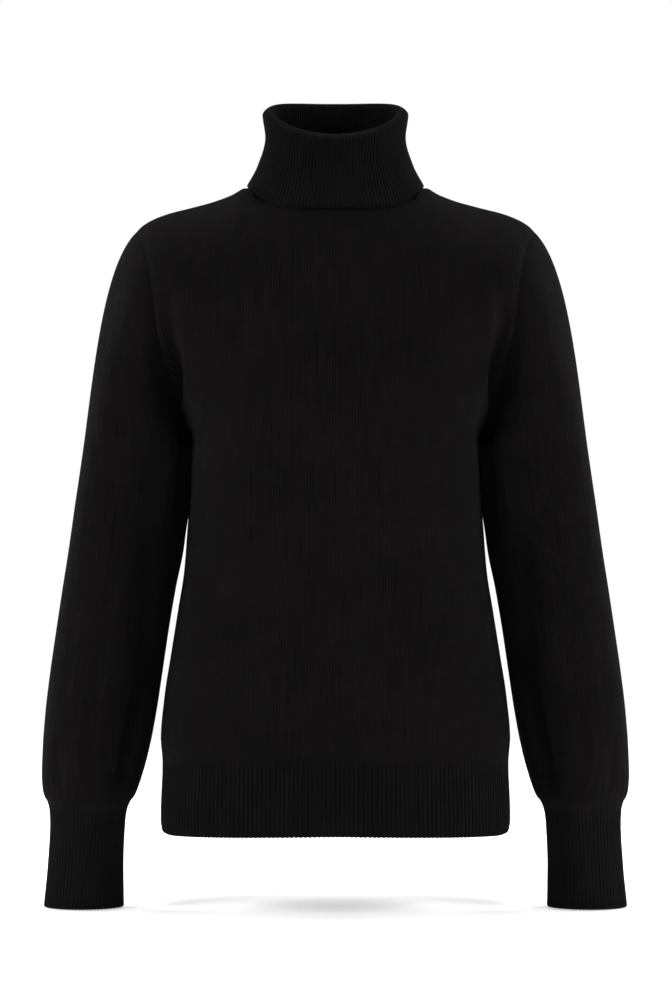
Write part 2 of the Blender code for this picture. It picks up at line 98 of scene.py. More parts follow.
FACES = ("front", "back")
TOWARDS = {"front": -1, "back": 1}
SIDES = {"left": 1, "right": -1}
LEVEL = (1, 1, 0)  # leaves the level part of a direction


class Table:
    """Rows of named columns, read as smooth curves along the first column, which increases."""

    def __init__(self, names, *rows):
        self.columns = dict(zip(names.split(), np.array(rows, float).T))
        self.along = next(iter(self.columns.values()))

    def rows(self):
        return zip(*self.columns.values())

    def section(self, at):
        """The values of all the columns but the first."""
        return [self.read(name, at) for name in [*self.columns][1:]]

    def read(self, name, at):
        knots, values = self.along, self.columns[name]
        step = np.diff(knots)
        rise = np.diff(values) / step
        before, after = rise[:-1], rise[1:]
        slope = np.empty_like(values)
        slope[0], slope[-1] = rise[0], rise[-1]
        same_way = before * after > 0
        weight_a = 2 * step[1:] + step[:-1]
        weight_b = step[1:] + 2 * step[:-1]
        safe_before = np.where(same_way, before, 1)
        safe_after = np.where(same_way, after, 1)
        harmonic = (weight_a + weight_b) / (weight_a / safe_before + weight_b / safe_after)
        slope[1:-1] = np.where(same_way, harmonic, 0)
        i = np.clip(np.searchsorted(knots, at) - 1, 0, len(step) - 1)
        t = (np.asarray(at, float) - knots[i]) / step[i]
        pull = slope[i] * step[i], slope[i + 1] * step[i]
        return hermite(values[i], values[i + 1], *pull, t)


# Half width of the garment at the side seam. Up to the chest, the middle of a panel follows it too
HEM_TO_CHEST = (
    (HEM_BOTTOM, 165.6),
    (-598, 167.0),
    (-588, 167.0),
    (-572, 166.5),
    (-547, 165.4),
    (HEM_TOP, 165.8),
    (-518, 167.3),
    (-480, 163.8),
    (-442, 157.4),
    (-403, 150.7),
    (-365, 144.6),
    (-326, 141.6),
)
SIDE = Table(
    "height half_width",
    *HEM_TO_CHEST,
    (-274, 137.6),
    (UNDERARM, 133.0),
)

# Depth of the panels from the side seam's plane at the centre line
DEPTH = Table(
    "height front back squareness",
    (HEM_BOTTOM, 119.5, 117.0, 2.5),
    (-572, 118.8, 116.5, 2.5),
    (HEM_TOP, 119.5, 117.5, 2.5),
    (-500, 119.5, 116.0, 2.5),
    (-440, 117.2, 110.5, 2.55),
    (-384, 115.7, 106.5, 2.6),
    (-330, 116.0, 106.5, 2.6),
    (-274, 119.0, 110.0, 2.6),
    (-220, 120.5, 114.0, 2.55),
    (-170, 117.0, 115.0, 2.5),
    (-138, 112.0, 113.0, 2.5),
    (-110, 105.5, 109.0, 2.5),
)

# The half width that the middle of a panel follows: it widens towards the shoulders, while the side seam
# is drawn in at the underarm
CHEST = Table(
    "height half_width",
    *HEM_TO_CHEST,
    (-280, 138.5),
    (-237, 138.0),
    (-206, 146.5),
    (-170, 153.5),
    (-138, 175.0),
    (-110, 196.0),
)

# How far out the armhole seam lies
ARMHOLE_OUT = Table(
    "height out",
    (UNDERARM, 133.0),
    (-230, 140.5),
    (-220, 146.0),
    (-205, 151.0),
    (-186, 156.0),
    (-160, 162.5),
    (-138, 167.5),
    (-89, 174.0),
    (-53, 183.0),
    (SHOULDER_POINT, 191.3),
)

# How far the armhole seam lies in front of the side seam, and behind it, by the angle from the underarm
ARMHOLE_DEPTH = Table(
    "angle front back",
    (0, 0, 0),
    (30, 13.5, 16),
    (60, 36, 42),
    (90, 62, 67),
    (105, 64.5, 71),
    (120, 60, 67),
    (150, 34, 43),
    (180, -SEAM_Y, SEAM_Y),
)

# The way the sleeve's cloth leaves the armhole: out, away from the sleeve's middle and up, and how far it
# holds to that way
CAP_START = Table(
    "angle out away up fullness",
    (0, 0.62, 0.0, -0.77, 0.8),
    (30, 0.45, 0.45, -0.77, 0.8),
    (60, 0.38, 0.5, -0.68, 0.8),
    (90, 0.62, 0.1, -0.72, 0.8),
    (120, 0.68, 0.03, -0.73, 0.72),
    (180, 0.72, 0.0, -0.69, 0.62),
)

# The shoulder seam, from the neck point to the shoulder point
SHOULDER = Table(
    "out height",
    (NECK_WIDTH, 0.0),
    (83, 2.2),
    (88, 1.9),
    (92, -0.2),
    (98, -3.8),
    (105, -6.8),
    (117.5, -11.2),
    (138.3, -16.8),
    (160.3, -22.4),
    (175.4, -28.2),
    (185.7, -34.4),
    (191.3, SHOULDER_POINT),
)

# Level sections of the left sleeve and cuff: the edge next to the body, the outer edge, the middle and half
# depth, and how square the section is (2 is an oval)
CUFF_SEAM = (SLEEVE_BOTTOM, 195.8, 275.2, -15.0, 32.8, 2.0)
SLEEVE = Table(
    "height inner outer middle half_depth squareness",
    CUFF_SEAM,
    (-579, 191.9, 278.0, -14.6, 35.2, 2.02),
    (-572, 188.7, 279.6, -14.2, 38.4, 2.06),
    (-557, 183.6, 280.5, -13.2, 43.4, 2.18),
    (-538, 178.6, 279.9, -12.0, 47.3, 2.3),
    (-499, 171.2, 277.2, -9.0, 49.5, 2.4),
    (-461, 165.6, 272.8, -6.5, 50.0, 2.5),
    (-422, 160.0, 267.3, -4.0, 50.5, 2.6),
    (-384, 153.7, 261.6, -2.5, 51.5, 2.7),
    (-346, 146.5, 255.7, -1.0, 52.5, 2.8),
    (-326, 144.1, 252.8, -0.5, 53.0, 2.85),
    (-307, 141.4, 250.2, 0.0, 53.5, 2.85),
    (-274, 138.2, 245.4, 1.0, 54.0, 2.8),
    (SLEEVE_LEVEL, 135.6, 242.0, 1.0, 54.0, 2.7),
)
CUFF = Table(
    "height inner outer middle half_depth squareness",
    (CUFF_BOTTOM, 202.2, 278.2, -17.0, 30.0, 2.0),
    (-645, 202.6, 274.4, -16.5, 29.0, 2.0),
    (-605, 201.0, 272.3, -15.4, 29.7, 2.0),
    (-593, 199.4, 272.9, -15.2, 31.1, 2.0),
    CUFF_SEAM,
)
CAP_END = (0.139, 0.0, -0.99)  # the way the sleeve runs where its level rings start

# Folds of the sleeve, which end at its cuff seam, by the angle round it (0 is next to the body, 90 the
# front, 180 the outside) and how far up they reach: two long ones, a trough and a ridge, and then the
# short pleats where it is gathered into the cuff
PLEATS = Table(
    "angle half_width depth reach",
    (46, 24, 13.0, 330),
    (102, 15, -4.0, 330),
    (92, 12, 1.2, 50),
    (125, 9, 1.1, 85),
    (218, 16, 3.5, 70),
    (258, 18, 4.5, 100),
    (312, 19, 4.0, 75),
)
PLEAT_START = 30  # how far above the seam a pleat has its full depth

# The small folds that the cuff's ribs draw into the sleeve: their count, depth and how far up they reach,
# and then the slow waves, by their count round it, size and start, that make them uneven
GATHERS = 32
GATHER_DEPTH = 0.3
GATHER_REACH = 34
GATHER_WAVES = ((3, 0.5, 40), (7, 0.3, 0))

# The collar's showing face, by the distance along the cloth from the neck seam: up the inside of the
# neck, over the roll, and down the outside to the free edge. The drop is how much lower the cloth
# hangs between the front, the sides and the back
COLLAR = Table(
    "along width front back side_height front_height back_height drop",
    (0, 75.0, 70.5, 61.5, -1.0, -12.0, 11.0, 0.0),
    (24, 65.5, 63.0, 55.5, 21.0, 6.0, 32.0, 0.0),
    (66, 57.4, 53.8, 49.0, 62.0, 34.0, 75.0, 0.0),
    (75, 58.2, 53.6, 49.6, 71.5, 41.5, 84.4, 0.0),
    (83, 63.4, 57.8, 54.0, 78.2, 47.6, 90.6, 0.0),
    (92, 69.8, 64.0, 60.2, 73.0, 42.0, 85.5, 0.0),
    (113, 67.2, 62.5, 58.5, 51.8, 21.5, 64.0, 0.0),
    (145, 74.6, 71.0, 63.5, 24.0, -2.5, 28.0, 1.8),
    (170, 85.0, 83.0, 73.0, 4.5, -23.5, 0.5, 5.0),
)
ROLL = (60, 98)  # where the collar turns over, along the cloth
ROLL_STEP = 1.0
COLLAR_STEP = 3.0

UNDERARM_RISE = 9  # a panel's row at the underarm lies this much higher at its centre line
UNDERARM_BLEND = 60  # and the rows less than this far below it do so in part
YOKE_FULLNESS = 1.12
EDGE_HOLD = 12  # how late a panel's row or column takes up the curve of its edge
ROW_BEND = 4  # how late a row bends towards its height at the side

# Steps of the fine grids
PANEL_COLUMNS = 96  # on each side of the centre line
COLUMN_CROWDING = 1.15  # above 1, they lie closer together towards the side
ROW_STEP = 3.0
ROW_SAMPLES = 400  # the points by which a level row's length is measured
ANGLE_STEP = 2.5
YOKE_ROWS = 30
CAP_ROWS = 60
HEM_ROWS = 24
CUFF_ROWS = 30
HIDDEN_STEP = 4  # the inner face keeps one point in this many
EDGE_TURNS = np.radians([30, 60, 90, 120, 150])  # the rows round a free edge
SHARP_ANGLE = np.radians(60)  # faces that meet at more than this are shaded apart
WELD_DISTANCE = 0.02 * MM


# ---------------------------------------------------------------- curves


def hermite(start, end, start_pull, end_pull, t):
    """The cubic from start to end with the given end tangents."""
    return (
        (2 * t**3 - 3 * t**2 + 1) * start
        + (3 * t**2 - 2 * t**3) * end
        + (t**3 - 2 * t**2 + t) * start_pull
        + (t**3 - t**2) * end_pull
    )


def smooth(t):
    """Eases from 0 to 1 as t does, level at both ends."""
    return t**2 * (3 - 2 * t)


def unit(vector):
    vector = np.asarray(vector, float)
    return vector / np.linalg.norm(vector, axis=-1, keepdims=True)


def distances(points, axis):
    """The running distance along one axis of a grid of points, from 0."""
    steps = np.linalg.norm(np.diff(points, axis=axis), axis=-1)
    total = np.cumsum(steps, axis=axis)
    return np.concatenate([np.zeros_like(total.take([0], axis=axis)), total], axis=axis)


def along(points, shares):
    """The points at these shares of a polyline's length."""
    length = distances(points, 0)
    wanted = np.asarray(shares) * length[-1]
    return np.stack([np.interp(wanted, length, column) for column in points.T], axis=-1)


def armhole(face, angle):
    """A point of the left armhole's seam: 0 is the underarm and 180 the shoulder point."""
    height = ARMHOLE_MIDDLE - ARMHOLE_HALF * np.cos(np.radians(angle))
    depth = TOWARDS[face] * ARMHOLE_DEPTH.read(face, angle)
    return np.array([ARMHOLE_OUT.read("out", height), depth, height])


def neck_oval(angle, width, front, back):
    """x and y of an oval round the neck: 0 is the front centre and 90 the left side."""
    turn = np.radians(angle)
    depth = np.where(np.cos(turn) > 0, front, back)
    return width * np.sin(turn), SEAM_Y - depth * np.cos(turn)


def tilted(angle, side, front, back, drop=0):
    """A height that has these values at the sides, the front and the back, and drops between them."""
    lean = np.cos(np.radians(angle))
    level = side + (front - back) / 2 * lean + ((front + back) / 2 - side) * lean**2
    return level - drop * np.sin(np.radians(2 * angle)) ** 2


def neck_seam(angle):
    x, y = neck_oval(angle, NECK_WIDTH, NECK_DEPTH["front"], NECK_DEPTH["back"])
    z = tilted(angle, 0, NECK_HEIGHT["front"], NECK_HEIGHT["back"])
    return np.stack([x, y, z], axis=-1)


# ---------------------------------------------------------------- body panels


def droop(height, shares):
    """How much lower the cloth hangs towards the side seams, from the waist to the hem."""
    below = np.clip((WAIST - height) / (WAIST - HEM_TOP), 0, 1)
    return HEM_DROOP * shares**DROOP_POWER * smooth(below)


def body_row(face, height, shares):
    """Points of the panel's level section, from the centre line to its side seam or armhole."""
    if height <= UNDERARM:
        edge = np.array([SIDE.read("half_width", height), 0, height])
    else:
        edge = armhole(face, np.degrees(np.arccos((ARMHOLE_MIDDLE - height) / ARMHOLE_HALF)))
    depth = DEPTH.read(face, height)
    power = 2 / DEPTH.read("squareness", height)
    last_turn = np.arcsin((abs(edge[1]) / depth) ** (1 / power))
    turn = np.linspace(np.pi / 2, last_turn, ROW_SAMPLES)
    x = CHEST.read("half_width", height) * np.abs(np.cos(turn)) ** power
    y = TOWARDS[face] * depth * np.sin(turn) ** power
    points = along(np.stack([x, y, np.full_like(x, height)], axis=-1), [*shares, 1])
    points = points[:-1] + np.array(shares)[:, None] ** EDGE_HOLD * (edge - points[-1])
    points[:, 2] -= droop(height, np.array(shares))
    return points


def top_point(face, share):
    """A point of the panel's top edge: the neckline, then the shoulder seam."""
    if share <= NECK_SHARE:
        angle = 90 * share / NECK_SHARE
        return neck_seam(angle if face == "front" else 180 - angle)
    out = np.interp(share, (NECK_SHARE, 1), (NECK_WIDTH, SHOULDER.along[-1]))
    return np.array([out, SEAM_Y, SHOULDER.read("height", out)])


def top_way(face, share):
    """The way the cloth runs as it reaches the top edge: steep at the neck, level at the shoulder."""
    back = -TOWARDS[face]
    rise = np.radians(NECK_RISE)
    steep = np.array([0, back * np.cos(rise), np.sin(rise)])
    level = np.array([0, back, 0])
    blend = min(share / NECK_SHARE, 1) ** 2
    return unit((1 - blend) * steep + blend * level)


def yoke(face, shares, rises):
    """The panel's rows above its level ones, up to the shoulder seam or the neckline."""
    base = armhole(face, YOKE_START)[2]
    start = body_row(face, base, shares)
    below = body_row(face, base - 1, shares)
    seam = np.array([armhole(face, YOKE_START + (180 - YOKE_START) * rise) for rise in rises])
    columns = []
    for share, low, lower in zip(shares, start, below):
        end = top_point(face, share)
        pull = YOKE_FULLNESS * np.linalg.norm(end - low)
        ways = pull * unit(low - lower), pull * top_way(face, share)
        columns.append([hermite(low, end, *ways, rise) for rise in rises])
    free = np.array(columns).transpose(1, 0, 2)
    return free + (shares**EDGE_HOLD)[None, :, None] * (seam - free[:, -1])[:, None]


def half_panel(face, shares):
    """The panel's outer points on the left side, as rows from the hem rib up."""
    low = np.linspace(HEM_TOP, UNDERARM, round((UNDERARM - HEM_TOP) / ROW_STEP) + 1)
    base = armhole(face, YOKE_START)[2]
    angles = np.arange(ANGLE_STEP, YOKE_START + 1, ANGLE_STEP)
    sides = np.concatenate([low, [armhole(face, angle)[2] for angle in angles]])
    rise = UNDERARM_RISE * np.clip((low - UNDERARM) / UNDERARM_BLEND + 1, 0, 1) ** 2
    centre_top = np.linspace(UNDERARM + UNDERARM_RISE, base, len(angles) + 1)[1:]
    centres = np.concatenate([low + rise, centre_top])
    lattice = np.array([body_row(face, height, shares) for height in sides])
    rows = []
    for centre, side in zip(centres, sides):
        wanted = centre + (side - centre) * shares**ROW_BEND
        places = [
            [np.interp(height, sides, lattice[:, column, axis]) for axis in range(3)]
            for column, height in enumerate(wanted)
        ]
        rows.append(places)
    rises = np.arange(1, YOKE_ROWS + 1) / YOKE_ROWS
    return np.concatenate([np.array(rows), yoke(face, shares, rises)])


# ---------------------------------------------------------------- creases and seams


CREASE_ENDS = 0.06  # the share of a half wave that a crease leaves out at each end
CREASE_FULLNESS = 0.8  # below 1, it is deep over more of its length
CREASE_UNEVENNESS = 0.3
CREASE_WAVE = 5  # radians of that unevenness along it
CREASE_PAST_ENDS = 1.5  # how far it fades out past its ends, in half widths
RIDGE_HEIGHT = 0.2  # of the ridges beside it, against its depth
RIDGE_ASIDE = 1.9  # how far aside they lie, in half widths
CREASE_FADE = {"side": 6, "cuff": 15, "armhole": 12}  # how far from a seam it starts to fade out


def crease_lift(across, up, creases):
    """How far soft troughs (below 0) and the ridges beside them lift the cloth.

    Each crease is a bowed line between two places, uneven in depth along its length.
    """
    lift = np.zeros_like(across)
    for *ends, bow, half_width, depth, uneven in creases.rows():
        start_across, start_up, end_across, end_up = ends
        way = np.array([end_across - start_across, end_up - start_up])
        length = np.hypot(*way)
        way = way / length
        ahead = (across - start_across) * way[0] + (up - start_up) * way[1]
        aside = (across - start_across) * way[1] - (up - start_up) * way[0]
        t = np.clip(ahead / length, 0, 1)
        past = np.maximum(np.maximum(-ahead, ahead - length), 0)
        away = (aside - bow * 4 * t * (1 - t)) / half_width
        wave = np.sin(np.pi * (CREASE_ENDS + (1 - 2 * CREASE_ENDS) * t))
        fade = wave**CREASE_FULLNESS * (1 + CREASE_UNEVENNESS * np.sin(uneven + CREASE_WAVE * t))
        fade = fade * np.exp(-((past / (CREASE_PAST_ENDS * half_width)) ** 2))
        near, far = (np.exp(-((away + side * RIDGE_ASIDE) ** 2)) for side in (-1, 1))
        lift += depth * fade * (RIDGE_HEIGHT * (near + far) - np.exp(-(away**2)))
    return lift


def seam_lift(distance):
    """A seam draws the cloth in a little on each side of its line."""
    return -SEAM_SINK * np.exp(-((distance / SEAM_HALF_WIDTH) ** 2))


# Creases of a panel's left half, in millimetres from its centre line and up from the neck points
PANEL_CREASES = {
    "front": Table(
        "start_across start_up end_across end_up bow half_width depth uneven",
        (161, -106, 195, -208, 8, 8.5, 8.5, 4.2),
        (168, -192, 173, -250, 0, 6, 2.4, 1.2),
        (134, -202, 161, -252, 3, 4, -1.1, 0.4),
        (146, -245, 120, -340, -4, 8, 1.0, 2.2),
        (176, -300, 186, -500, 4, 12, 1.2, 0.5),
    ),
    "back": Table(
        "start_across start_up end_across end_up bow half_width depth uneven",
        (150, -95, 186, -210, 8, 9, 3.4, 3.6),
        (60, -250, 150, -290, -9, 15, 1.4, 2.5),
        (30, -330, 140, -352, -10, 17, 1.6, 0.2),
        (40, -410, 150, -395, 8, 16, 1.3, 1.7),
    ),
}

DEGREE = 0.9  # millimetres round the sleeve

# Creases of the left sleeve, round it from the side next to the body by the front, and up
SLEEVE_CREASES = Table(
    "start_across start_up end_across end_up bow half_width depth uneven",
    (84 * DEGREE, -262, 44 * DEGREE, -462, -3, 13, 4.2, 3.6),
    (38 * DEGREE, -440, 47 * DEGREE, -583, -3, 8.5, 3.8, 5.8),
    (36 * DEGREE, -205, 21 * DEGREE, -385, 0, 11, 8.0, 0.5),
    (20 * DEGREE, -470, 34 * DEGREE, -575, 2, 12, -2.0, 5.0),
    (330 * DEGREE, -200, 300 * DEGREE, -330, -8, 14, 2.4, 2.0),
    (285 * DEGREE, -300, 250 * DEGREE, -390, 6, 12, 2.0, 0.1),
    (305 * DEGREE, -380, 262 * DEGREE, -470, -6, 13, 1.8, 2.8),
)


# ---------------------------------------------------------------- grids


def both_halves(left):
    """A row of points for each side of the centre line, from the points of the left side."""
    return np.concatenate([left[:, :0:-1] * (-1, 1, 1), left], axis=1)


def grid_normals(points, way):
    """Unit normals of a grid of points; `way` chooses the side that they point to."""
    across = np.gradient(points, axis=1)
    up = np.gradient(points, axis=0)
    return way * unit(np.cross(across, up))


def tube_normals(rings):
    """Unit normals of closed rings, out of the showing face."""
    across = (np.roll(rings, -1, axis=1) - np.roll(rings, 1, axis=1)) / 2
    return unit(np.cross(np.gradient(rings, axis=0), across))


def rib_count(columns):
    """The number of ribs before each point of a row."""
    return np.arange(columns) / RIB_STEPS


def rib_lift(counted, relief):
    """Rounded ridges with narrow valleys between them."""
    return relief * (np.abs(np.sin(np.pi * counted)) ** RIB_ROUNDNESS - 0.5)


def strip(first, second):
    """Faces between two lines of vertices: quads where they match, else triangles."""
    if len(first) == len(second):
        return list(zip(first[:-1], first[1:], second[1:], second[:-1]))
    faces = []
    i = j = 0
    while i < len(first) - 1 or j < len(second) - 1:
        if (i + 1) / (len(first) - 1) <= (j + 1) / (len(second) - 1):
            faces.append((first[i], first[i + 1], second[j]))
            i += 1
        else:
            faces.append((first[i], second[j + 1], second[j]))
            j += 1
    return faces


def thinned(points, step):
    """One column and row in `step` of a grid, and its last ones."""
    rows = sorted({*range(0, points.shape[0], step), points.shape[0] - 1})
    columns = sorted({*range(0, points.shape[1], step), points.shape[1] - 1})
    return points[np.ix_(rows, columns)]


def add_object(name, data):
    added = bpy.data.objects.new(name, data)
    bpy.context.scene.collection.objects.link(added)
    return added


class Cloth:
    """A piece in the making: grids of points with their places in the cloth, and faces between them."""

    def __init__(self, name):
        self.name = name
        self.points = []
        self.places = []
        self.faces = []
        self.count = 0

    def grid(self, points, places):
        """Adds a grid of points and the faces between them, and returns their numbers."""
        numbers = self.count + np.arange(points[..., 0].size).reshape(points.shape[:2])
        self.count += numbers.size
        self.points.append(points.reshape(-1, 3))
        self.places.append(places.reshape(-1, 2))
        corners = [numbers[:-1, :-1], numbers[:-1, 1:], numbers[1:, 1:], numbers[1:, :-1]]
        self.faces += np.stack(corners, axis=-1).reshape(-1, 4).tolist()
        return numbers

    def bridge(self, first, second):
        self.faces += [list(face) for face in strip([*first], [*second])]

    def finish(self, material, node, slot):
        points = np.concatenate(self.points)
        places = np.concatenate(self.places)
        mesh = bpy.data.meshes.new(f"{self.name}_knit")
        mesh.from_pydata((points * MM).tolist(), [], self.faces)
        corners = np.empty(len(mesh.loops), np.int32)
        mesh.loops.foreach_get("vertex_index", corners)
        mesh.uv_layers.new(name="cloth").uv.foreach_set("vector", places[corners].ravel())
        weld(mesh)
        mesh.materials.append(material)
        mesh.shade_smooth()
        mesh.set_sharp_from_angle(angle=SHARP_ANGLE)
        piece = add_object(f"{self.name}_knit", mesh)
        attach(piece, "root")
        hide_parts(node)
        return piece


def weld(mesh):
    """Joins the points that lie on each other, as where a tube closes, and turns all faces out."""
    solid = bmesh.new()
    solid.from_mesh(mesh)
    bmesh.ops.remove_doubles(solid, verts=solid.verts, dist=WELD_DISTANCE)
    bmesh.ops.recalc_face_normals(solid, faces=solid.faces)
    solid.to_mesh(mesh)
    solid.free()


def cloth_places(points):
    """(across, along) in metres for a grid of points, by distance along its rows and columns."""
    across = distances(points, 1)
    middle = across[:, across.shape[1] // 2][:, None]
    return np.stack([across - middle, distances(points, 0)], axis=-1) * MM


def rib_places(points):
    """The same for a ribbed piece, whose ribs are counted across it."""
    counted = np.broadcast_to(rib_count(points.shape[1]), points.shape[:2])
    return np.stack([counted, distances(points, 0) * MM], axis=-1)


# ---------------------------------------------------------------- pieces


def panel(face):
    shares = 1 - (1 - np.linspace(0, 1, PANEL_COLUMNS + 1)) ** COLUMN_CROWDING
    outer = both_halves(half_panel(face, shares))
    normals = grid_normals(outer, -TOWARDS[face])
    places = cloth_places(outer)
    across = np.abs(places[..., 0]) / MM
    from_side = across[:, -1:] - across
    from_top = (places[-1:, :, 1] - places[..., 1]) / MM
    lift = crease_lift(across, outer[..., 2], PANEL_CREASES[face])
    lift *= np.clip(from_side / CREASE_FADE["side"], 0, 1)
    lift += seam_lift(from_side)
    lift += np.where(np.abs(outer[-1:, :, 0]) > NECK_WIDTH, seam_lift(from_top), 0)
    outer = outer + lift[..., None] * normals
    inner = thinned(outer - JERSEY_WALL * normals, HIDDEN_STEP)
    cloth = Cloth(face)
    first = cloth.grid(outer, places)
    second = cloth.grid(inner, thinned(places, HIDDEN_STEP))
    for edge in (np.s_[0], np.s_[-1], np.s_[:, 0], np.s_[:, -1]):
        cloth.bridge(first[edge], second[edge])
    return cloth.finish(JERSEY, face, "jersey")


def rounded_edge(outer, inner, down):
    """Rows that turn round an open edge, from the outer face's last row to the inner face's first."""
    middle = (outer + inner) / 2
    half = (outer - inner) / 2
    radius = np.linalg.norm(half, axis=-1, keepdims=True)
    return np.array([middle + np.cos(turn) * half + np.sin(turn) * radius * down for turn in EDGE_TURNS])


def ribbed_band(name, outer, out, relief, closed, material):
    """A ribbed band, raised on both faces, with a round free edge below. Its rows run down."""
    lift = rib_lift(rib_count(outer.shape[1]), relief)[None, :, None]
    fade = np.clip(distances(outer, 0) / RIB_START, 0, 1)[..., None]
    showing = outer + fade * lift * out
    hidden = outer - (RIB_WALL + fade * lift) * out
    edge = rounded_edge(showing[-1], hidden[-1], np.array([0, 0, -1]))
    rows = np.concatenate([showing, edge, hidden[::-1]])
    if closed:
        rows = np.concatenate([rows, rows[:, :1]], axis=1)
    cloth = Cloth(name)
    numbers = cloth.grid(rows, rib_places(rows))
    cloth.bridge(numbers[0], numbers[-1])
    if not closed:
        half = len(rows) // 2
        for side in (0, -1):
            cloth.bridge(numbers[: half + 1, side], numbers[::-1][: len(rows) - half, side])
    return cloth.finish(material, name, "rib")


def hem_rib(face):
    shares = np.linspace(0, 1, HEM_RIBS * RIB_STEPS // 2 + 1)
    heights = np.linspace(HEM_TOP, HEM_BOTTOM + RIB_WALL / 2, HEM_ROWS)
    left = np.array([body_row(face, height, shares) for height in heights])
    corner = np.clip((shares - CORNER_START) / (CORNER_END - CORNER_START), 0, 1)
    rise = HEM_CORNER * smooth(corner) - HEM_SAG * np.sin(np.pi * shares)
    left[..., 2] += rise * np.linspace(0, 1, HEM_ROWS)[:, None] ** 2
    outer = both_halves(left)
    out = grid_normals(outer, TOWARDS[face])
    out[:, 0], out[:, -1] = (-1, 0, 0), (1, 0, 0)
    return ribbed_band(f"{face}_hem_rib", outer, unit(out * LEVEL), HEM_RELIEF, False, RIB)


def ring(table, height, angles):
    """A level section of a sleeve or cuff: 0 is next to the body, 90 the front and 180 the outside."""
    inner, outer, middle, half_depth, squareness = table.section(height)
    turn = np.radians(angles)
    power = 2 / squareness
    aside, ahead = (np.sign(way) * np.abs(way) ** power for way in (np.cos(turn), np.sin(turn)))
    x = (inner + outer) / 2 - (outer - inner) / 2 * aside
    y = middle - half_depth * ahead
    return np.stack([x, y, np.full_like(x, height)], axis=-1)


def pleat_depth(height, angles):
    """How far each pleat above the cuff draws the sleeve in: it deepens downwards and ends at the seam."""
    drawn = np.zeros(len(angles))
    for angle, half_width, depth, reach in PLEATS.rows():
        up = (height - SLEEVE_BOTTOM) / reach
        away = (angles - angle + 180) % 360 - 180
        if 0 <= up < 1:
            drawn += depth * np.sin(np.pi * np.sqrt(up)) * np.exp(-((away / half_width) ** 2))
    return drawn * min((height - SLEEVE_BOTTOM) / PLEAT_START, 1)


def gathers(height, angles):
    """Small uneven folds that the cuff's ribs draw into the sleeve above them."""
    up = np.clip((height - SLEEVE_BOTTOM) / GATHER_REACH, 0, 1)
    waves = (size * np.sin(np.radians(count * angles + start)) for count, size, start in GATHER_WAVES)
    folds = GATHER_DEPTH * (1 + sum(waves)) * np.sin(np.radians(GATHERS * angles))
    return folds * np.sin(np.pi * np.sqrt(up))


def armhole_ring(angles):
    places = [("front", angle) if angle <= 180 else ("back", 360 - angle) for angle in angles]
    return np.array([armhole(*place) for place in places])


def sleeve_leaving(angle):
    """The way that the sleeve's cloth leaves the armhole seam, as long as its fullness there."""
    towards, turn = (-1, angle) if angle <= 180 else (1, 360 - angle)
    out, away, up, fullness = CAP_START.section(turn)
    return fullness * unit([out, towards * away, up])


def sleeve_rings(angles):
    start = armhole_ring(angles)
    end = ring(SLEEVE, SLEEVE_LEVEL, angles)
    length = np.linalg.norm(end - start, axis=1, keepdims=True)
    leaving = np.array([sleeve_leaving(angle) for angle in angles])
    pulls = length * leaving, length * unit(CAP_END)
    rings = [hermite(start, end, *pulls, t) for t in np.arange(CAP_ROWS + 1) / CAP_ROWS]
    count = round((SLEEVE_LEVEL - SLEEVE_BOTTOM) / ROW_STEP)
    for height in np.linspace(SLEEVE_LEVEL, SLEEVE_BOTTOM, count + 1)[1:]:
        points = ring(SLEEVE, height, angles)
        inward = -unit((points - points.mean(axis=0)) * LEVEL)
        rings.append(points + pleat_depth(height, angles)[:, None] * inward)
    return np.array(rings)


def sleeve(name, side):
    angles = np.arange(0, 360, ANGLE_STEP)
    rings = sleeve_rings(angles)
    normals = tube_normals(rings)
    round_it = np.broadcast_to(angles * DEGREE, rings.shape[:2])
    lift = crease_lift(round_it, rings[..., 2], SLEEVE_CREASES)
    from_armhole = distances(rings, 0)
    lift *= np.clip((rings[..., 2] - SLEEVE_BOTTOM) / CREASE_FADE["cuff"], 0, 1)
    lift *= np.clip(from_armhole / CREASE_FADE["armhole"], 0, 1)
    lift += seam_lift(from_armhole) + gathers(rings[..., 2], angles)
    rings = rings + lift[..., None] * normals
    inner = rings - JERSEY_WALL * normals
    rings, inner = (np.concatenate([grid, grid[:, :1]], axis=1) for grid in (rings, inner))
    places = cloth_places(rings)
    cloth = Cloth(name)
    first = cloth.grid(rings * (side, 1, 1), places)
    second = cloth.grid(thinned(inner, HIDDEN_STEP) * (side, 1, 1), thinned(places, HIDDEN_STEP))
    cloth.bridge(first[0], second[0])
    cloth.bridge(first[-1], second[-1])
    return cloth.finish(JERSEY, name, "jersey")


def cuff(name, side):
    columns = CUFF_RIBS * RIB_STEPS
    angles = np.arange(columns) * 360 / columns
    heights = np.linspace(SLEEVE_BOTTOM, CUFF_BOTTOM + RIB_WALL / 2, CUFF_ROWS)
    rows = np.array([ring(CUFF, height, angles) for height in heights])
    out = unit(tube_normals(rows) * LEVEL)
    mirror = (side, 1, 1)
    # Its material is a lighter copy of the rib's: painted light on the cuffs
    return ribbed_band(name, rows * mirror, out * mirror, CUFF_RELIEF, True, LIT_CUFF_RIB)


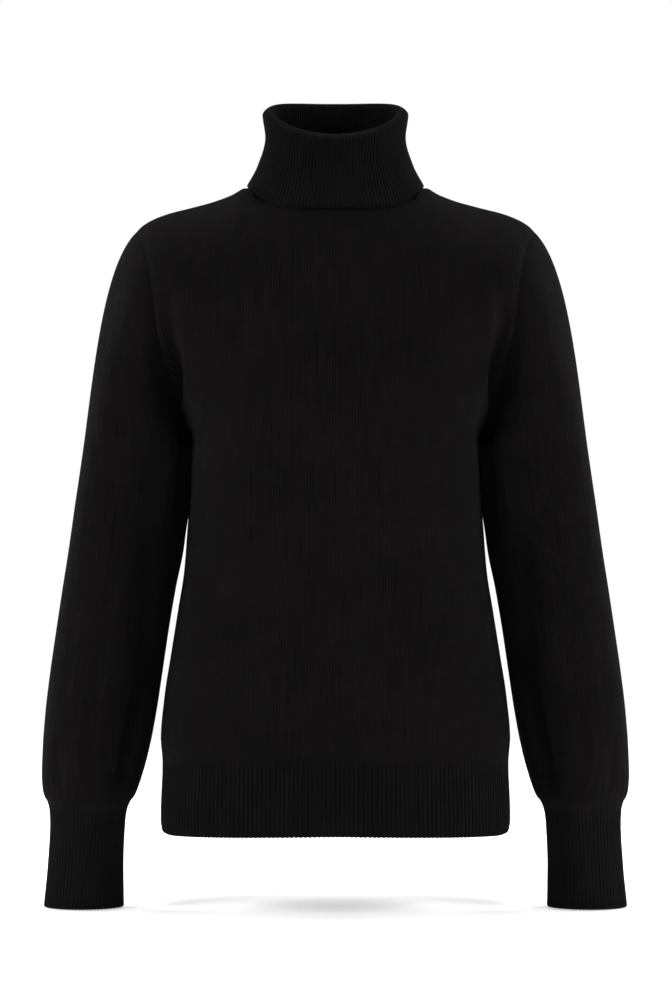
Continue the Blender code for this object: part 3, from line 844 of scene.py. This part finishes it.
def collar():
    columns = COLLAR_RIBS * RIB_STEPS
    angles = np.arange(columns + 1) * 360 / columns
    stand = np.arange(0, ROLL[0], COLLAR_STEP)
    roll = np.arange(ROLL[0], ROLL[1], ROLL_STEP)
    end = COLLAR.along[-1] - RIB_WALL / 2
    fall = np.linspace(ROLL[1], end, round((end - ROLL[1]) / COLLAR_STEP) + 1)
    knots = np.concatenate([stand, roll, fall])
    rings = []
    for knot in knots:
        width, front, back, *heights = COLLAR.section(knot)
        x, y = neck_oval(angles, width, front, back)
        rings.append(np.stack([x, y, tilted(angles, *heights)], axis=-1))
    rings = np.array(rings)
    out = tube_normals(rings[:, :-1])
    out = np.concatenate([out, out[:, :1]], axis=1)
    lift = rib_lift(rib_count(columns), COLLAR_RELIEF)
    showing = rings + np.append(lift, lift[0])[None, :, None] * out
    hidden = rings - RIB_WALL * out
    down = unit(np.gradient(rings, axis=0)[-1])
    edge = rounded_edge(showing[-1], hidden[-1], down)
    rows = np.concatenate([showing, edge])
    places = rib_places(rows)
    cloth = Cloth("collar")
    first = cloth.grid(rows, places)
    second = cloth.grid(thinned(hidden, HIDDEN_STEP), thinned(places[: len(hidden)], HIDDEN_STEP))
    cloth.bridge(first[0], second[0])
    cloth.bridge(first[-1], second[-1])
    return cloth.finish(RIB, "collar", "rib")


# ---------------------------------------------------------------- materials


class Nodes:
    """A short way to write a material's nodes."""

    def __init__(self, name):
        self.material = bpy.data.materials.new(name)
        self.material.use_nodes = True
        self.tree = self.material.node_tree
        self.shader = self.tree.nodes["Principled BSDF"]

    def add(self, kind, **settings):
        node = self.tree.nodes.new(kind)
        for key, value in settings.items():
            setattr(node, key, value)
        return node

    def link(self, source, target):
        self.tree.links.new(source, target)

    def math(self, operation, *values):
        node = self.add("ShaderNodeMath", operation=operation)
        for socket, value in zip(node.inputs, values):
            if isinstance(value, (int, float)):
                socket.default_value = value
            else:
                self.link(value, socket)
        return node.outputs[0]

    def place(self):
        """The place in the cloth: across and along."""
        split = self.add("ShaderNodeSeparateXYZ")
        self.link(self.add("ShaderNodeUVMap", uv_map="cloth").outputs[0], split.inputs[0])
        return split.outputs[0], split.outputs[1]

    def finish(self, settings):
        for name, value in settings.items():
            self.shader.inputs[name].default_value = value
        return self.material


STITCH_LEAN = 1.2  # how far a V's legs run up, in rows of stitches
STITCH_ROUNDNESS = (0.6, 0.5)  # along a column and across a leg; below 1 is fuller
BUMP_STRENGTH = 0.8
NAP = (900, 4, 0.7)  # the scale and detail of its noise, and its height against the stitches'
USUAL_NOISE = (0.3, 0.7)  # the range that a noise seldom leaves
MEAN_RIDGE = 0.64  # the mean of the wave that paints shade into the lines between wales
STREAK_SIZE = (0.8, 22.0)  # the noise's scale for each wale across and each metre along
CLOUDS = ((14, 4, 0.1), (70, 3, 0.08))  # the scale and detail of slow noise, and how far the tone varies
NAPPED = {
    "Roughness": 0.95,
    "Specular IOR Level": 0.006,
    "Sheen Roughness": 0.4,
    "Sheen Tint": (0.9, 0.93, 1.0, 1),
}


def stitches(nodes, wale, course):
    """The height of V-shaped stitches, in columns one `wale` wide, one above the other."""
    middle = nodes.math("SUBTRACT", nodes.math("FRACT", wale), 0.5)
    aside = nodes.math("ABSOLUTE", middle)
    slanted = nodes.math("SUBTRACT", course, nodes.math("MULTIPLY", aside, STITCH_LEAN))
    loop = nodes.math("ABSOLUTE", nodes.math("SINE", nodes.math("MULTIPLY", slanted, np.pi)))
    leg = nodes.math("SINE", nodes.math("MULTIPLY", aside, 2 * np.pi))
    rounded = (nodes.math("POWER", *pair) for pair in zip((loop, leg), STITCH_ROUNDNESS))
    return nodes.math("MULTIPLY", *rounded)


def noise(nodes, scale, detail, vector):
    texture = nodes.add("ShaderNodeTexNoise")
    texture.inputs["Scale"].default_value = scale
    texture.inputs["Detail"].default_value = detail
    nodes.link(vector, texture.inputs["Vector"])
    return texture.outputs["Fac"]


def varied(nodes, value, spread):
    """Runs from `spread` below 1 to as much above it, as a noise runs over its usual range."""
    node = nodes.add("ShaderNodeMapRange")
    for socket, setting in zip(node.inputs[1:5], (*USUAL_NOISE, 1 - spread, 1 + spread)):
        socket.default_value = setting
    nodes.link(value, node.inputs[0])
    return node.outputs[0]


def knit(name, colour, wale_width, relief, wale_valley_shade, unevenness, sheen):
    """A napped knit: stitches in its bump, painted shade in the lines between its wales, and uneven colour.

    A ribbed piece's place counts its ribs, each of them one wale, and needs no wale_width.
    """
    nodes = Nodes(name)
    across, length = nodes.place()
    wale = nodes.math("DIVIDE", across, wale_width * MM) if wale_width else across
    height = stitches(nodes, wale, nodes.math("DIVIDE", length, COURSE * MM))
    position = nodes.add("ShaderNodeNewGeometry").outputs["Position"]

    nap_scale, nap_detail, nap_height = NAP
    nap = nodes.math("MULTIPLY", noise(nodes, nap_scale, nap_detail, position), nap_height)
    bump = nodes.add("ShaderNodeBump")
    bump.inputs["Distance"].default_value = relief * MM
    bump.inputs["Strength"].default_value = BUMP_STRENGTH
    nodes.link(nodes.math("ADD", height, nap), bump.inputs["Height"])
    nodes.link(bump.outputs[0], nodes.shader.inputs["Normal"])

    # Painted shade: the colour darkens along the valleys between wales, which are the valleys between the
    # ribs on a ribbed piece
    ridge = nodes.math("ABSOLUTE", nodes.math("SINE", nodes.math("MULTIPLY", wale, np.pi)))
    tone = nodes.math("ADD", nodes.math("MULTIPLY", ridge, wale_valley_shade), 1 - MEAN_RIDGE * wale_valley_shade)
    drawn = nodes.add("ShaderNodeCombineXYZ")
    for value, size, socket in zip((wale, length), STREAK_SIZE, drawn.inputs):
        nodes.link(nodes.math("MULTIPLY", value, size), socket)
    streaks = noise(nodes, 1, 1, drawn.outputs[0])
    tone = nodes.math("MULTIPLY", tone, varied(nodes, streaks, unevenness))
    for scale, detail, spread in CLOUDS:
        tone = nodes.math("MULTIPLY", tone, varied(nodes, noise(nodes, scale, detail, position), spread))
    shade = nodes.add("ShaderNodeVectorMath", operation="SCALE")
    shade.inputs[0].default_value = colour
    nodes.link(tone, shade.inputs["Scale"])
    nodes.link(shade.outputs[0], nodes.shader.inputs["Base Color"])

    return nodes.finish(NAPPED | {"Sheen Weight": sheen})


# ---------------------------------------------------------------- stage, lights and camera


FLOOR_GAP = 1.0  # millimetres below the cuffs
FLOOR_HALF = 2.0  # metres
PALE = {
    "Base Color": (0.92, 0.92, 0.92, 1),
    "Roughness": 0.9,
    "Emission Color": (1, 1, 1, 1),
    "Emission Strength": 0.45,
}


def floor():
    height = (CUFF_BOTTOM - FLOOR_GAP) * MM
    ways = ((-1, -1), (1, -1), (1, 1), (-1, 1))
    mesh = bpy.data.meshes.new("floor")
    mesh.from_pydata([(x * FLOOR_HALF, y * FLOOR_HALF, height) for x, y in ways], [], [(0, 1, 2, 3)])
    mesh.materials.append(Nodes("pale_floor").finish(PALE))
    piece = add_object("floor", mesh)


LIGHT_TARGET = Vector((0, 0, -0.3))

# Large soft lamps, each with its twin on the other side: azimuth from straight in front, distance, height,
# width and length in metres, and power
SOFTBOXES = {
    "key": (65, 2.6, 0.8, 0.8, 1.0, 45),
    "side": (115, 2.6, 0.9, 0.8, 1.0, 22),
    "rim": (125, 1.1, -0.05, 0.3, 0.4, 6),
    "top": (5, 0.3, 2.3, 2.0, 1.0, 12),
    "crown": (170, 1.0, 2.3, 1.0, 1.0, 27),
}
BACKDROP = 1.0  # how bright the world looks
AMBIENT = 0.04  # how bright it is as a light


def softbox(name, azimuth, distance, height, width, length, power):
    light = bpy.data.lights.new(name, "AREA")
    light.shape = "RECTANGLE"
    light.size, light.size_y = width, length
    light.energy = power
    lamp = add_object(name, light)
    turn = np.radians(azimuth)
    lamp.location = (distance * np.sin(turn), -distance * np.cos(turn), height)
    lamp.rotation_euler = (LIGHT_TARGET - lamp.location).to_track_quat("-Z", "Y").to_euler()


def studio():
    """A white surround that lights the room only dimly, as a backdrop behind flags would."""
    world = bpy.data.worlds.new("studio")
    world.use_nodes = True
    tree = world.node_tree
    surround = tree.nodes["Background"]
    surround.inputs["Color"].default_value = (1, 1, 1, 1)
    seen = tree.nodes.new("ShaderNodeLightPath").outputs["Is Camera Ray"]
    strength = tree.nodes.new("ShaderNodeMapRange")
    strength.inputs["To Min"].default_value = AMBIENT
    strength.inputs["To Max"].default_value = BACKDROP
    tree.links.new(seen, strength.inputs["Value"])
    tree.links.new(strength.outputs[0], surround.inputs["Strength"])
    bpy.context.scene.world = world


CAMERA_DISTANCE = 2.9
CAMERA_HEIGHT = -0.301
CAMERA_X = 0.0005
VIEW_HEIGHT = 0.968  # metres of the garment's middle plane from the top of the frame to its foot
SENSOR = 36.0


def camera():
    lens = bpy.data.cameras.new("camera")
    lens.sensor_fit = "VERTICAL"
    lens.sensor_height = SENSOR
    lens.lens = SENSOR * CAMERA_DISTANCE / VIEW_HEIGHT
    view = add_object("camera", lens)
    view.location = (CAMERA_X, -CAMERA_DISTANCE, CAMERA_HEIGHT)
    view.rotation_euler = (np.radians(90), 0, 0)
    bpy.context.scene.camera = view


# ---------------------------------------------------------------- the scene

bpy.context.scene.view_settings.view_transform = "Standard"

# Colour, width of a wale, relief, painted shade between wales, unevenness and sheen
JERSEY = knit("black_jersey", (0.0060, 0.0053, 0.0058), WALE, 0.35, 0.8, 0.14, 0.015)
RIB = knit("black_rib", (0.0050, 0.0045, 0.0049), None, 0.3, 0.22, 0.07, 0.032)
# The cuffs' rib is a lighter copy of the hem's and collar's rib: painted light, standing in for the light
# that the floor sends up on the cuffs
LIT_CUFF_RIB = knit("black_cuff_rib_painted_light", (0.0064, 0.0058, 0.0063), None, 0.3, 0.12, 0.07, 0.02)

camera()
studio()
floor()
for lamp_name, (lamp_azimuth, *lamp_settings) in SOFTBOXES.items():
    for suffix, side_sign in SIDES.items():
        softbox(f"{lamp_name}_{suffix}", side_sign * lamp_azimuth, *lamp_settings)

for body_face in FACES:
    panel(body_face)
    hem_rib(body_face)
for suffix, side_sign in SIDES.items():
    sleeve(f"sleeve_{suffix}", side_sign)
    cuff(f"cuff_{suffix}", side_sign)
collar()
